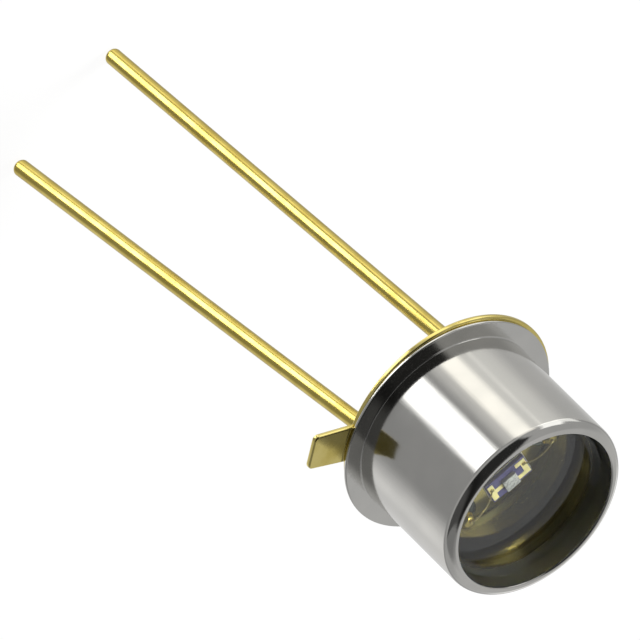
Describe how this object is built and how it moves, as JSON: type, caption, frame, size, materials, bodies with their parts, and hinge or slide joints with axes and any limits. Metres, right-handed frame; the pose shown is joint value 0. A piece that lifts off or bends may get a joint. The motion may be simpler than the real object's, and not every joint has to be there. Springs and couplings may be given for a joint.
{
  "type": "ultraviolet led",
  "caption": "Ultraviolet emitter in a round metal can with a fused glass window, on a gold-plated header with an index tab and long wire leads.",
  "frame": {"origin": "centre of the seat under the header, midway between the leads", "axes": "+Z along the optical axis out of the window, +X to the lead beside the index tab; the leads hang down -Z"},
  "size_m": [0.0056, 0.0055, 0.0168],
  "materials": {
    "gold_plate": "gold plated, satin",
    "lead_gold": "gold plated, drawn wire",
    "nickel_can": "nickel plated, polished",
    "window_glass": "clear, fused",
    "bead_glass": "dark sealing glass",
    "solder": "reflowed solder",
    "tile": "lapped ceramic, blue-grey",
    "pad_gold": "gold film, bright",
    "chip": "polished crystal"
  },
  "bodies": {
    "root": {"header": "gold_plate", "cap": "nickel_can", "window": "window_glass", "tab_lead": "lead_gold", "far_lead": "lead_gold", "tab_seal": "bead_glass", "far_seal": "bead_glass", "die_attach": "solder", "submount": "tile", "tab_pad": "pad_gold", "far_pad": "pad_gold", "die": "chip", "tab_wire": "pad_gold", "far_wire": "pad_gold"}
  },
  "joints": []
}
